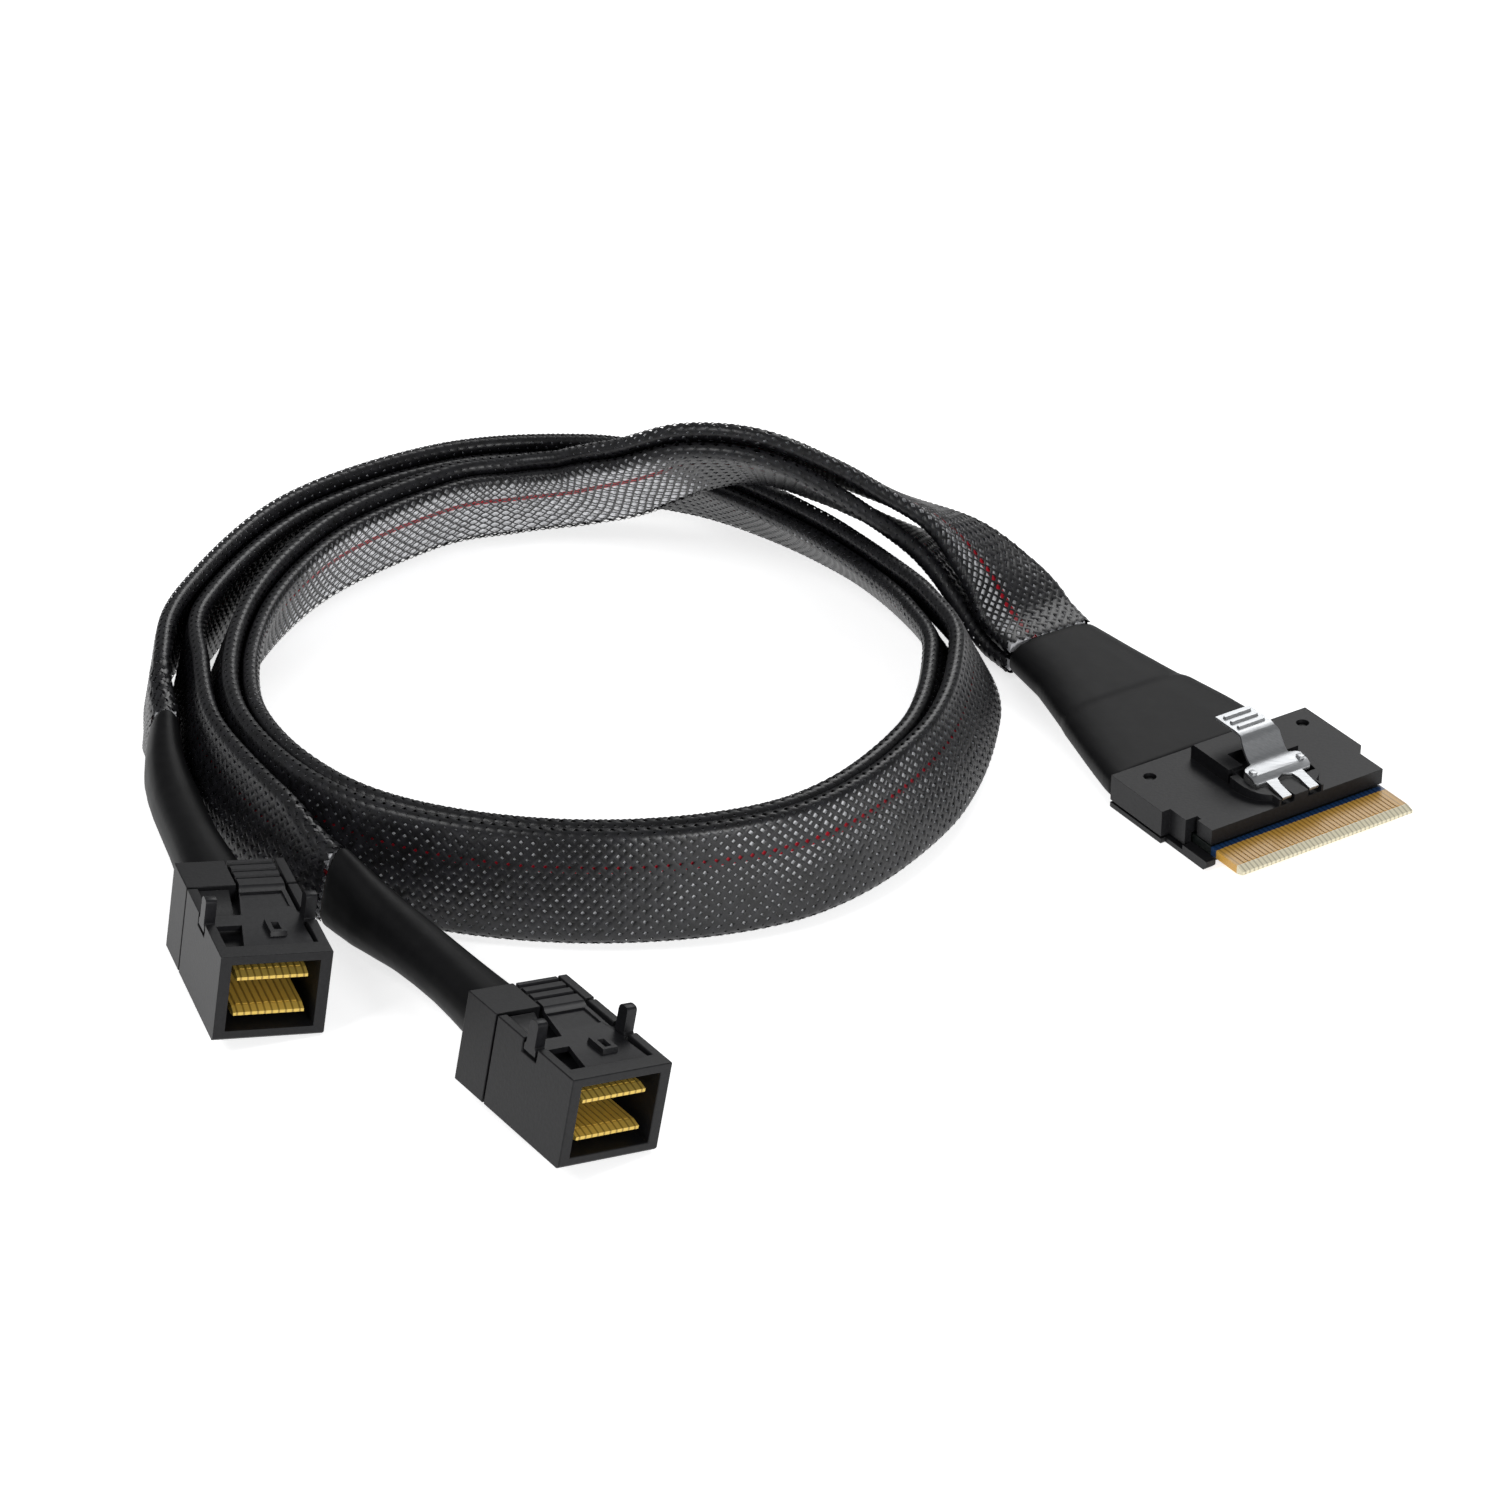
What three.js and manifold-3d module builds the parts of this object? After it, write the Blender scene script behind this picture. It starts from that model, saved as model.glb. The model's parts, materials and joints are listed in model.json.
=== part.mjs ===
// Breakout cable: one wide SlimSAS plug, two mini SAS HD plugs, two flat legs in braided sleeve.
// Millimetres, +Z up. The origin is on the surface the cable lies on, midway between the connectors.
// Each plug is drawn in a frame of its own: +X out of its mouth, +Y to its right, +Z up, rear at x = 0.

import * as THREE from 'three';
import { mergeVertices } from 'three/addons/utils/BufferGeometryUtils.js';
import Module from 'manifold-3d';

const wasm = await Module();
wasm.setup();

// Clearance between neighbouring pieces
const gap = 0.3;

// SlimSAS plug body
const slimWidth = 27.7;
const slimLength = 15.5;
const slimHeight = 4.1;
const slimFloor = 0.6;
const slimShoulder = 9.4;
const slimGuideStep = 1.15;
const slimGuideEnd = 12.2;
const slimNoseWidth = 24.2;
const slimNoseShift = 0.5;
const slimRearWall = 1.2;
const slimArmLength = 7.4;
const slimArmWidth = 1.3;
const slimArmHeight = 1.2;
const slimPegRadius = 0.45;
const slimPegInset = 2.6;
const slimPegSpan = 21.8;

// SlimSAS circuit card: 37 fingers a side
const slimCardWidth = 24.0;
const slimCardLength = 19.6;
const slimCardThickness = 1.0;
const slimFingerCount = 37;
const slimFingerPitch = 0.6;
const slimFingerWidth = 0.38;
const slimFingerLength = 4.4;

// Latch bridge on the SlimSAS deck
const bridgeShift = 0.92;
const bridgeRear = 1.75;
const bridgeWidth = 9.9;
const bridgeHeight = 1.8;
const bridgeBlockLength = 6.85;
const railWidth = 10.6;
const railRise = 1.5;
const lipRise = 0.8;
const lipWidth = 6.2;

// SlimSAS latch spring, one strip of steel
const latchThickness = 0.36;
const latchPadWidth = 4.8;
const latchPadHeight = 8.83;
const latchPadRear = 2.6;
const latchSlopeWidth = 5.3;
const latchWingWidth = 7.9;
const latchProngWidth = 1.25;
const latchProngSpan = 3.8;
const latchTipX = 15.3;
const latchTipHeight = 4.75;
const latchRibCount = 3;
const latchRibPitch = 1.25;
const latchRibHeight = 0.28;

// SlimSAS boot
const slimBootLength = 28.8;

// A size worked out from others, to a nanometre, so that faces meant to be level stay level
const evened = (value) => Math.round(value * 1e6) / 1e6;

// Mini SAS HD plug body
const hdWidth = 12.0;
const hdHeight = 10.2;
const hdLength = 19.4;
const hdCoverLength = 5.2;
const hdWall = 1.25;
const hdFloor = 1.2;
const hdRoofDrop = 1.8;
const hdRoofTop = evened(hdHeight - hdRoofDrop);
const hdRoof = 0.6;
const hdBayWall = 1.1;
const hdFrontBar = 2.1;
const hdMouthRise = 1.4;
const hdMouthDepth = 2.2;
const hdChannelLeft = 0.6;
const hdChannelDrop = 2.0;
const hdChannelFloor = evened(hdHeight - hdChannelDrop);
const hdEntryWidth = 7.0;
const hdEntryHeight = 4.4;

// Mini SAS HD latch lever
const leverThickness = 0.9;
const leverFrontWidth = 7.5;
const leverArmX = 11.6;
const leverArmLength = 2.0;
const leverEarRise = 2.6;
const leverEarLength = 1.5;
const leverEarThickness = 1.2;
const leverGrooveCount = 3;
const leverGroovePitch = 1.4;
const leverGrooveDepth = 0.25;
const leverDrop = 0.15;

// Mini SAS HD contact cards: nine contacts a side
const hdCardWidth = 7.6;
const hdCardLength = 14.3;
const hdCardThickness = 0.9;
const hdCardRear = 4.3;
const hdUpperCardDrop = 1.4;
const hdUpperCard = evened(hdRoofTop - hdUpperCardDrop);
const hdLowerCard = 2.75;
const hdFingerCount = 9;
const hdFingerPitch = 0.75;
const hdFingerWidth = 0.5;
const hdFingerLength = 4.6;
const fingerRise = 0.06;
const hdHolderLength = 9.3;

// Flat legs: ribbon cable in braided sleeve
const sleeveWidth = 13.4;
const sleeveThickness = 2.0;
const sleeveSides = 12;
const longStep = 14.0;

// Where the connectors lie. Yaw and roll are in degrees.
const originX = 3.17;
const originY = -31.44;
const slimPlace = { x: 52.17, y: -4.77, z: 0, yaw: -57.15, roll: 0 };
const plugPlaces = [
  { x: -56.77, y: -41.63, z: 0.96, yaw: -69.73, roll: -9.0 },
  { x: -25.33, y: -65.91, z: 1.3, yaw: -55.06, roll: -11.88 },
];

// Route of the pair of legs: x, y, z of its middle, lean from upright in degrees, and distance apart.
// It leaves the wide boot flat, climbs over the lower turn and coils twice, anticlockwise.
const pairRoute = [
  [35.0, 19.2, 2.9, 90, 2.4],
  [32.4, 23.2, 3.6, 86, 3.0],
  [28.6, 27.4, 6.6, 77, 3.9],
  [22.9, 31.3, 10.6, 65, 3.8],
  [15.4, 34.4, 13.4, 56, 3.0],
  [8.5, 36.3, 16.2, 52, 2.6],
  [1.3, 37.9, 18.2, 50, 2.5],
  [-6.2, 40.2, 17.2, 46, 2.5],
  [-13.6, 43.6, 13.0, 42, 2.5],
  [-20.8, 47.4, 9.2, 37, 2.4],
  [-28.8, 48.6, 7.5, 33, 2.4],
  [-38.5, 45.4, 7.2, 30, 2.4],
  [-52.0, 31.2, 7.2, 26, 2.4],
  [-59.2, 9.5, 7.3, 22, 2.4],
  [-57.0, -14.0, 7.4, 17, 2.4],
  [-42.4, -32.6, 7.4, 12, 2.4],
  [-19.0, -39.6, 7.4, 9, 2.4],
  [4.6, -35.0, 7.4, 10, 2.4],
  [19.2, -18.0, 7.3, 15, 2.6],
  [24.2, 2.0, 7.2, 22, 3.2],
  [22.4, 14.5, 6.9, 30, 2.8],
  [17.8, 26.0, 6.4, 38, 2.4],
  [11.0, 37.3, 6.1, 43, 2.4],
  [1.9, 47.2, 6.0, 44, 2.4],
  [-8.6, 54.8, 6.1, 42, 2.4],
  [-21.0, 57.6, 6.3, 39, 2.4],
  [-39.0, 53.0, 6.8, 34, 2.4],
  [-56.6, 37.2, 7.1, 25, 2.7],
  [-65.8, 13.5, 7.2, 15, 2.8],
];

// The last stretch of each leg on its own: x, y, z and lean
const legEnds = [
  [
    [-67.6, -0.5, 7.1, 9],
    [-65.9, -9.8, 7.0, 8],
  ],
  [
    [-63.4, -2.5, 7.2, 14],
    [-61.0, -14.9, 7.2, 17],
    [-55.6, -25.6, 7.2, 18],
    [-50.2, -33.5, 7.1, 16],
    [-44.6, -39.6, 7.0, 16],
  ],
];

// Middle of each mini SAS HD boot between sleeve and plug: x, y, z, height, width
const bootRoutes = [
  [
    [-65.1, -16.0, 6.6, 8.0, 4.6],
    [-63.0, -23.0, 6.4, 6.0, 5.6],
    [-60.4, -30.5, 6.3, 5.8, 5.8],
  ],
  [
    [-40.6, -44.3, 6.4, 8.2, 4.8],
    [-35.6, -50.0, 6.2, 6.6, 5.6],
    [-30.6, -56.6, 6.1, 6.0, 6.2],
  ],
];

// Moulded in dark plastic, drawn from black heat-shrink tube, stamped, plated and braided
const finishes = {
  plastic: { color: 0x1d1e20, roughness: 0.6, metalness: 0 },
  lever: { color: 0x25262a, roughness: 0.5, metalness: 0 },
  holder: { color: 0x101113, roughness: 0.7, metalness: 0 },
  shrink: { color: 0x141416, roughness: 0.55, metalness: 0 },
  steel: { color: 0xb9bcc0, roughness: 0.35, metalness: 1 },
  gold: { color: 0xd9a441, roughness: 0.4, metalness: 0.9 },
  braid: { color: 0x1a1a1c, roughness: 0.7, metalness: 0 },
};

// A closed geometry as a solid that can be cut and joined
function solid(geometry) {
  geometry.deleteAttribute('normal');
  geometry.deleteAttribute('uv');
  const merged = mergeVertices(geometry);
  const vertProperties = new Float32Array(merged.attributes.position.array);
  const triVerts = new Uint32Array(merged.index.array);
  return new wasm.Manifold(new wasm.Mesh({ numProp: 3, vertProperties, triVerts }));
}

// A solid back as a named mesh with a material of its own
function piece(name, body, finish) {
  const cut = body.getMesh();
  const geometry = new THREE.BufferGeometry();
  geometry.setAttribute('position', new THREE.BufferAttribute(cut.vertProperties, 3));
  geometry.setIndex(new THREE.BufferAttribute(cut.triVerts, 1));
  geometry.computeVertexNormals();
  const mesh = new THREE.Mesh(geometry, new THREE.MeshStandardMaterial(finishes[finish]));
  mesh.name = name;
  return mesh;
}

function joined(first, ...others) {
  return others.reduce((whole, next) => whole.add(next), first);
}

function block([x0, x1], [y0, y1], [z0, z1]) {
  const geometry = new THREE.BoxGeometry(x1 - x0, y1 - y0, z1 - z0);
  geometry.translate((x0 + x1) / 2, (y0 + y1) / 2, (z0 + z1) / 2);
  return solid(geometry);
}

function outline(points) {
  return new THREE.Shape(points.map(([x, y]) => new THREE.Vector2(x, y)));
}

// A plan outline in X and Y, raised from z0 to z1
function raised(shape, [z0, z1], curveSegments = 6) {
  const geometry = new THREE.ExtrudeGeometry(shape, { depth: z1 - z0, bevelEnabled: false, curveSegments });
  geometry.translate(0, 0, z0);
  return solid(geometry);
}

// A side outline in X and Z, drawn across from y0 to y1
function across(shape, [y0, y1], curveSegments = 6) {
  const geometry = new THREE.ExtrudeGeometry(shape, { depth: y1 - y0, bevelEnabled: false, curveSegments });
  geometry.rotateX(Math.PI / 2);
  geometry.translate(0, y1, 0);
  return solid(geometry);
}

function peg(x, y, radius, [z0, z1]) {
  const shape = new THREE.Shape();
  shape.absarc(x, y, radius, 0, 2 * Math.PI);
  return raised(shape, [z0, z1], 12);
}

// A rectangle in plan or side view with rounded corners
function rounded([x0, x1], [y0, y1], radius) {
  const shape = new THREE.Shape();
  shape.absarc(x1 - radius, y0 + radius, radius, -Math.PI / 2, 0);
  shape.absarc(x1 - radius, y1 - radius, radius, 0, Math.PI / 2);
  shape.absarc(x0 + radius, y1 - radius, radius, Math.PI / 2, Math.PI);
  shape.absarc(x0 + radius, y0 + radius, radius, Math.PI, 1.5 * Math.PI);
  return shape;
}

// SlimSAS plug: heights and edges that several pieces share
const slimHalf = slimWidth / 2;
const slimTopBase = slimFloor + gap;
const slimCardTop = slimTopBase + slimCardThickness;
const slimCardRoom = slimCardTop + gap;
const slimCardRear = slimRearWall + gap;
const slimNoseLeft = slimNoseShift - slimNoseWidth / 2;
const slimNoseRight = slimNoseShift + slimNoseWidth / 2;
const slimPegs = [-1, 1].map((side) => [slimPegInset, slimNoseShift + (side * slimPegSpan) / 2]);

// Plan of both halves: full width at the rear, stepped in for the guide arm, then the nose
function slimPlan() {
  const guideLeft = slimGuideStep - slimHalf;
  const chamfer = slimHalf - slimNoseRight;
  const notch = 0.5;
  return outline([
    [0, -slimHalf],
    [slimShoulder, -slimHalf],
    [slimShoulder, guideLeft],
    [slimGuideEnd, guideLeft],
    [slimGuideEnd, slimNoseLeft + notch],
    [slimGuideEnd + 0.7, slimNoseLeft + notch],
    [slimGuideEnd + 0.7, slimNoseLeft],
    [slimLength, slimNoseLeft],
    [slimLength, slimNoseRight],
    [slimShoulder + 2, slimNoseRight],
    [slimShoulder + 2 - chamfer, slimHalf],
    [0, slimHalf],
  ]);
}

// The bridge's plan, narrowing in a curve from the rails to the lip at the front
function bridgePlan() {
  const half = bridgeWidth / 2;
  const blockEnd = bridgeRear + bridgeBlockLength;
  const railStart = blockEnd + 0.7;
  const neck = half - 0.6;
  const railHalf = railWidth / 2;
  const lipHalf = lipWidth / 2;
  const lipStart = slimLength - 1.3;
  const shape = new THREE.Shape();
  shape.moveTo(bridgeRear, bridgeShift - half);
  shape.lineTo(blockEnd, bridgeShift - half);
  shape.lineTo(blockEnd, bridgeShift - neck);
  shape.lineTo(railStart, bridgeShift - neck);
  shape.lineTo(railStart, bridgeShift - railHalf);
  shape.quadraticCurveTo(lipStart - 1, bridgeShift - railHalf, lipStart, bridgeShift - lipHalf);
  shape.lineTo(slimLength, bridgeShift - lipHalf);
  shape.lineTo(slimLength, bridgeShift + lipHalf);
  shape.lineTo(lipStart, bridgeShift + lipHalf);
  shape.quadraticCurveTo(lipStart - 1, bridgeShift + railHalf, railStart, bridgeShift + railHalf);
  shape.lineTo(railStart, bridgeShift + neck);
  shape.lineTo(blockEnd, bridgeShift + neck);
  shape.lineTo(blockEnd, bridgeShift + half);
  shape.lineTo(bridgeRear, bridgeShift + half);
  return shape;
}

function slimBridge() {
  const root = slimHeight - 0.5;
  const blockEnd = bridgeRear + bridgeBlockLength;
  const side = outline([
    [bridgeRear, root],
    [slimLength, root],
    [slimLength, slimHeight + lipRise],
    [slimLength - 1.3, slimHeight + lipRise],
    [blockEnd, slimHeight + railRise],
    [blockEnd, slimHeight + bridgeHeight],
    [bridgeRear + 0.4, slimHeight + bridgeHeight],
    [bridgeRear, slimHeight + bridgeHeight - 0.4],
  ]);
  const reach = railWidth / 2 + 1;
  const body = raised(bridgePlan(), [root, slimHeight + bridgeHeight + 1])
    .intersect(across(side, [bridgeShift - reach, bridgeShift + reach]));
  return body.subtract(latchRoom());
}

// Room for the spring in the bridge: a well behind the slope, a wider bay for the wings, two slots
function latchRoom() {
  const heights = [slimHeight, slimHeight + bridgeHeight + 1];
  const band = (halfWidth) => [bridgeShift - halfWidth, bridgeShift + halfWidth];
  const well = block([5.8, 9.6], band(latchSlopeWidth / 2 + gap), heights);
  const bay = block([8.9, 12.6], band(latchWingWidth / 2 + gap), heights);
  const slots = [-1, 1].map((side) => {
    const middle = bridgeShift + (side * latchProngSpan) / 2;
    const half = latchProngWidth / 2 + gap;
    return block([12.5, latchTipX + gap], [middle - half, middle + half], heights);
  });
  return joined(well, bay, ...slots);
}

function slimTopHousing() {
  const cardSide = slimCardWidth / 2 + gap;
  const cardBay = block(
    [slimRearWall, slimLength + 1],
    [slimNoseShift - cardSide, slimNoseShift + cardSide],
    [slimTopBase - 1, slimCardRoom],
  );
  const wireSlot = block([-1, slimRearWall + 1], [-9.5, 9.5], [slimTopBase - 1, slimCardRoom]);
  const body = joined(raised(slimPlan(), [slimTopBase, slimHeight]), slimBridge());
  const bores = slimPegs.map(([x, y]) => peg(x, y, slimPegRadius + gap, [0, slimHeight + 1]));
  return body.subtract(joined(cardBay, wireSlot, ...bores));
}

// Bottom half: plate, guide arm that rises beside the nose, and two pegs through card and deck
function slimBottomHousing() {
  const armRight = slimNoseLeft - gap;
  const armLeft = armRight - slimArmWidth;
  const armSide = outline([
    [slimShoulder - 0.5, 0],
    [slimShoulder + slimArmLength - 0.5, 0],
    [slimShoulder + slimArmLength, 0.5],
    [slimShoulder + slimArmLength, slimArmHeight],
    [slimGuideEnd + gap, slimArmHeight],
    [slimGuideEnd + gap, slimFloor],
    [slimShoulder - 0.5, slimFloor],
  ]);
  const plate = raised(slimPlan(), [0, slimFloor]);
  const arm = across(armSide, [armLeft, armRight]);
  const cutBack = block([slimShoulder, slimGuideEnd + 0.2], [-slimHalf, armLeft], [-1, slimFloor + 1]);
  const pegs = slimPegs.map(([x, y]) => peg(x, y, slimPegRadius, [slimFloor / 2, slimHeight - 0.4]));
  return joined(plate.subtract(cutBack), arm, ...pegs);
}

// A card with a bevelled front edge and raised contact fingers on both faces
function contactCard(card) {
  const half = card.width / 2;
  const bevel = card.thickness * 0.3;
  const front = card.rear + card.length;
  const side = outline([
    [card.rear, card.bottom],
    [front - 1, card.bottom],
    [front, card.bottom + bevel],
    [front, card.bottom + card.thickness - bevel],
    [front - 1, card.bottom + card.thickness],
    [card.rear, card.bottom + card.thickness],
  ]);
  const fingers = [];
  const first = card.middle - ((card.fingers - 1) * card.pitch) / 2;
  const sunk = card.thickness / 4;
  for (let index = 0; index < card.fingers; index += 1) {
    const y = first + index * card.pitch;
    const span = [front - 1.2 - card.fingerLength, front - 1.2];
    const faces = [
      [card.bottom + card.thickness - sunk, card.bottom + card.thickness + fingerRise],
      [card.bottom - fingerRise, card.bottom + sunk],
    ];
    for (const heights of faces) {
      fingers.push(block(span, [y - card.fingerWidth / 2, y + card.fingerWidth / 2], heights));
    }
  }
  return joined(across(side, [card.middle - half, card.middle + half]), ...fingers);
}

function slimCard() {
  const card = contactCard({
    rear: slimCardRear,
    bottom: slimTopBase,
    middle: slimNoseShift,
    width: slimCardWidth,
    length: slimCardLength,
    thickness: slimCardThickness,
    fingers: slimFingerCount,
    pitch: slimFingerPitch,
    fingerWidth: slimFingerWidth,
    fingerLength: slimFingerLength,
  });
  const holes = slimPegs.map(([x, y]) => peg(x, y, slimPegRadius + gap, [0, slimHeight]));
  return card.subtract(joined(...holes));
}

// The spring's side view: pad, slope, wing flat and prongs, as a strip of even thickness
function latchSide() {
  const path = new THREE.Path();
  path.moveTo(latchPadRear, latchPadHeight);
  path.lineTo(latchPadRear + 3.8, latchPadHeight);
  path.quadraticCurveTo(latchPadRear + 4.9, latchPadHeight, 8.0, 7.75);
  path.lineTo(8.7, 6.85);
  path.quadraticCurveTo(9.2, 6.2, 10.0, 6.05);
  path.lineTo(11.4, 5.8);
  path.lineTo(12.2, 5.35);
  path.lineTo(latchTipX, latchTipHeight);
  const points = path.getPoints(5);
  const half = latchThickness / 2;
  const edge = (side) => points.map((point, index) => {
    const before = points[Math.max(index - 1, 0)];
    const after = points[Math.min(index + 1, points.length - 1)];
    const along = after.clone().sub(before).normalize();
    return [point.x - along.y * half * side, point.y + along.x * half * side];
  });
  return outline([...edge(-1), ...edge(1).reverse()]);
}

// The spring's plan: a press pad, a wider slope, wings, and two prongs with a round-ended slot between
function latchPlan() {
  const padHalf = latchPadWidth / 2;
  const slopeHalf = latchSlopeWidth / 2;
  const wingHalf = latchWingWidth / 2;
  const prongOut = (latchProngSpan + latchProngWidth) / 2;
  const prongIn = (latchProngSpan - latchProngWidth) / 2;
  const slotRear = 12.0;
  const right = [
    [latchPadRear - 1, padHalf - 0.5],
    [latchPadRear - 0.2, padHalf],
    [7.2, padHalf],
    [7.9, slopeHalf],
    [9.6, slopeHalf],
    [9.9, wingHalf - 0.3],
    [10.2, wingHalf],
    [12.0, wingHalf],
    [12.3, wingHalf - 0.3],
    [12.3, prongOut],
    [latchTipX + 1, prongOut],
    [latchTipX + 1, prongIn],
    [slotRear + prongIn, prongIn],
    [slotRear + 0.4, prongIn * 0.8],
  ];
  const left = right.map(([x, y]) => [x, -y]).reverse();
  const around = [...right, [slotRear, 0], ...left];
  return outline(around.map(([x, y]) => [x, y + bridgeShift]));
}

function slimLatch() {
  const reach = latchWingWidth;
  const strip = across(latchSide(), [bridgeShift - reach, bridgeShift + reach]);
  const spring = raised(latchPlan(), [0, latchPadHeight + 1]).intersect(strip);
  const ribs = [];
  for (let index = 0; index < latchRibCount; index += 1) {
    const x = latchPadRear + 0.9 + index * latchRibPitch;
    const top = latchPadHeight + latchThickness / 2;
    const rib = outline([
      [x - 0.35, top - 0.1],
      [x + 0.35, top - 0.1],
      [x + 0.15, top + latchRibHeight],
      [x - 0.15, top + latchRibHeight],
    ]);
    const half = latchPadWidth / 2 - 0.6;
    ribs.push(across(rib, [bridgeShift - half, bridgeShift + half]));
  }
  const hooks = [-1, 1].map((side) => {
    const y = bridgeShift + side * (latchWingWidth / 2 - 0.6);
    return block([10.5, 11.3], [y - 0.3, y + 0.3], [5.75, 6.35]);
  });
  return joined(spring, ...ribs, ...hooks);
}

// One ring of a loft: a rounded box or oval about a middle, from superellipse points
function ring(middle, tall, wide, height, width, squareness, count) {
  const points = [];
  for (let index = 0; index < count; index += 1) {
    const angle = (2 * Math.PI * index) / count;
    const up = Math.sign(Math.cos(angle)) * Math.abs(Math.cos(angle)) ** (2 / squareness);
    const out = Math.sign(Math.sin(angle)) * Math.abs(Math.sin(angle)) ** (2 / squareness);
    points.push(middle.clone().addScaledVector(tall, (up * height) / 2).addScaledVector(wide, (out * width) / 2));
  }
  return points;
}

// A closed skin over rings of equal count, with flat ends
function loft(rings) {
  const count = rings[0].length;
  const positions = rings.flat().flatMap((point) => [point.x, point.y, point.z]);
  const index = [];
  for (let row = 0; row < rings.length - 1; row += 1) {
    for (let column = 0; column < count; column += 1) {
      const a = row * count + column;
      const b = row * count + ((column + 1) % count);
      index.push(a, a + count, b, b, a + count, b + count);
    }
  }
  const last = (rings.length - 1) * count;
  for (let column = 1; column < count - 1; column += 1) {
    index.push(0, column, column + 1);
    index.push(last, last + column + 1, last + column);
  }
  const geometry = new THREE.BufferGeometry();
  geometry.setAttribute('position', new THREE.Float32BufferAttribute(positions, 3));
  geometry.setIndex(index);
  return solid(geometry);
}

// The wide boot: flat and broad behind the plug, gathered to an oval where the legs leave it
function slimBoot() {
  const stations = [
    { x: -gap, left: -13.7, right: 9.9, bottom: 0.35, top: 3.75, squareness: 6 },
    { x: -2.0, left: -13.5, right: 9.8, bottom: 0.35, top: 3.85, squareness: 5 },
    { x: -7.5, left: -12.2, right: 9.2, bottom: 0.35, top: 4.15, squareness: 4 },
    { x: -13.6, left: -10.6, right: 8.0, bottom: 0.4, top: 4.5, squareness: 3.6 },
    { x: -14.6, left: -10.2, right: 7.6, bottom: 0.4, top: 4.35, squareness: 3.4 },
    { x: -22.0, left: -8.3, right: 6.2, bottom: 0.45, top: 4.9, squareness: 3 },
    { x: -slimBootLength, left: -7.5, right: 5.2, bottom: 0.5, top: 5.3, squareness: 2.8 },
  ];
  const tall = new THREE.Vector3(0, 0, 1);
  const wide = new THREE.Vector3(0, 1, 0);
  const rings = stations.map((cut) => {
    const middle = new THREE.Vector3(cut.x, (cut.left + cut.right) / 2, (cut.bottom + cut.top) / 2);
    return ring(middle, tall, wide, cut.top - cut.bottom, cut.right - cut.left, cut.squareness, 24);
  });
  return loft(rings.reverse());
}

// Mini SAS HD plug: edges that several pieces share
const hdHalf = hdWidth / 2;
const hdCavityTop = hdRoofTop - hdRoof;
const hdFront = hdLength - hdFrontBar;
const hdShellRear = hdCoverLength + gap;
const hdInner = hdHalf - hdWall;
const hdBayHalf = hdHalf - hdBayWall;
const leverTop = hdHeight;
const leverUnder = hdHeight - leverThickness;

function hdHousing() {
  const shell = block([hdShellRear, hdLength], [-hdHalf, hdHalf], [0, hdHeight]);
  const cavity = block([0, hdLength + 1], [-hdInner, hdInner], [hdFloor, hdCavityTop]);
  const mouth = across(outline([
    [hdLength - hdMouthDepth, hdCavityTop - 0.5],
    [hdLength + 1, hdCavityTop - 0.5],
    [hdLength + 1, hdCavityTop + hdMouthRise],
    [hdLength - 0.8, hdCavityTop + hdMouthRise],
    [hdLength - hdMouthDepth, hdCavityTop],
  ]), [-hdInner, hdInner]);
  const bay = block([0, hdFront], [-hdBayHalf, hdBayHalf], [hdRoofTop, hdHeight + 1]);
  const earNotch = block(
    [leverArmX - leverArmLength / 2 - gap, leverArmX + leverArmLength / 2 + gap],
    [-hdHalf - 1, hdHalf + 1],
    [hdRoofTop + gap, hdHeight + 1],
  );
  const ramp = across(outline([
    [hdShellRear, hdRoofTop - 0.2],
    [hdShellRear + 3.2, hdRoofTop - 0.2],
    [hdShellRear + 2.9, hdRoofTop],
    [hdShellRear, hdHeight - 0.3],
  ]), [-hdBayHalf - 0.2, -1.5]);
  const rimEdge = across(outline([
    [hdLength - 0.35, -1],
    [hdLength + 1, -1],
    [hdLength + 1, 0.35],
    [hdLength, 0.35],
    [hdLength - 0.35, 0],
  ]), [-hdHalf - 1, hdHalf + 1]);
  return shell.subtract(joined(cavity, mouth, bay, earNotch, rimEdge)).add(ramp);
}

// Rear cover: closes the shell round the wires, with a channel for the lever's pad
function hdRearCover() {
  const cover = block([0, hdCoverLength], [-hdHalf, hdHalf], [0, hdHeight]);
  const channel = block([-1, hdCoverLength + 1], [-hdChannelLeft, hdBayHalf], [hdChannelFloor, hdHeight + 1]);
  const cavity = block([hdWall, hdCoverLength + 1], [-hdInner, hdInner], [hdFloor, hdChannelFloor - hdRoof]);
  const entryShape = rounded(
    [-hdEntryWidth / 2, hdEntryWidth / 2],
    [hdHeight / 2 - hdEntryHeight / 2 - 0.3, hdHeight / 2 + hdEntryHeight / 2 - 0.3],
    1.6,
  );
  const entry = new THREE.ExtrudeGeometry(entryShape, { depth: hdWall + 1, bevelEnabled: false, curveSegments: 4 });
  entry.rotateX(Math.PI / 2);
  entry.rotateZ(Math.PI / 2);
  entry.translate(-0.5, 0, 0);
  return cover.subtract(joined(channel, cavity, solid(entry)));
}

// The lever's plan: a parallel pad behind, a long tongue that widens to the root, and cross arms
function leverPlan() {
  const right = hdBayHalf - gap;
  const rootLeft = right - leverFrontWidth;
  const rootX = hdFront - gap;
  const armRear = leverArmX - leverArmLength / 2;
  const armFront = leverArmX + leverArmLength / 2;
  const edgeAt = (x) => -gap + ((x - 5) / (rootX - 5)) * (rootLeft + gap);
  return outline([
    [0.1, gap - hdChannelLeft],
    [5, -gap],
    [armRear, edgeAt(armRear)],
    [armRear, -hdHalf],
    [armFront, -hdHalf],
    [armFront, edgeAt(armFront)],
    [rootX, rootLeft],
    [rootX, right],
    [armFront, right],
    [armFront, hdHalf],
    [armRear, hdHalf],
    [armRear, right],
    [0.1, right],
  ]);
}

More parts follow.
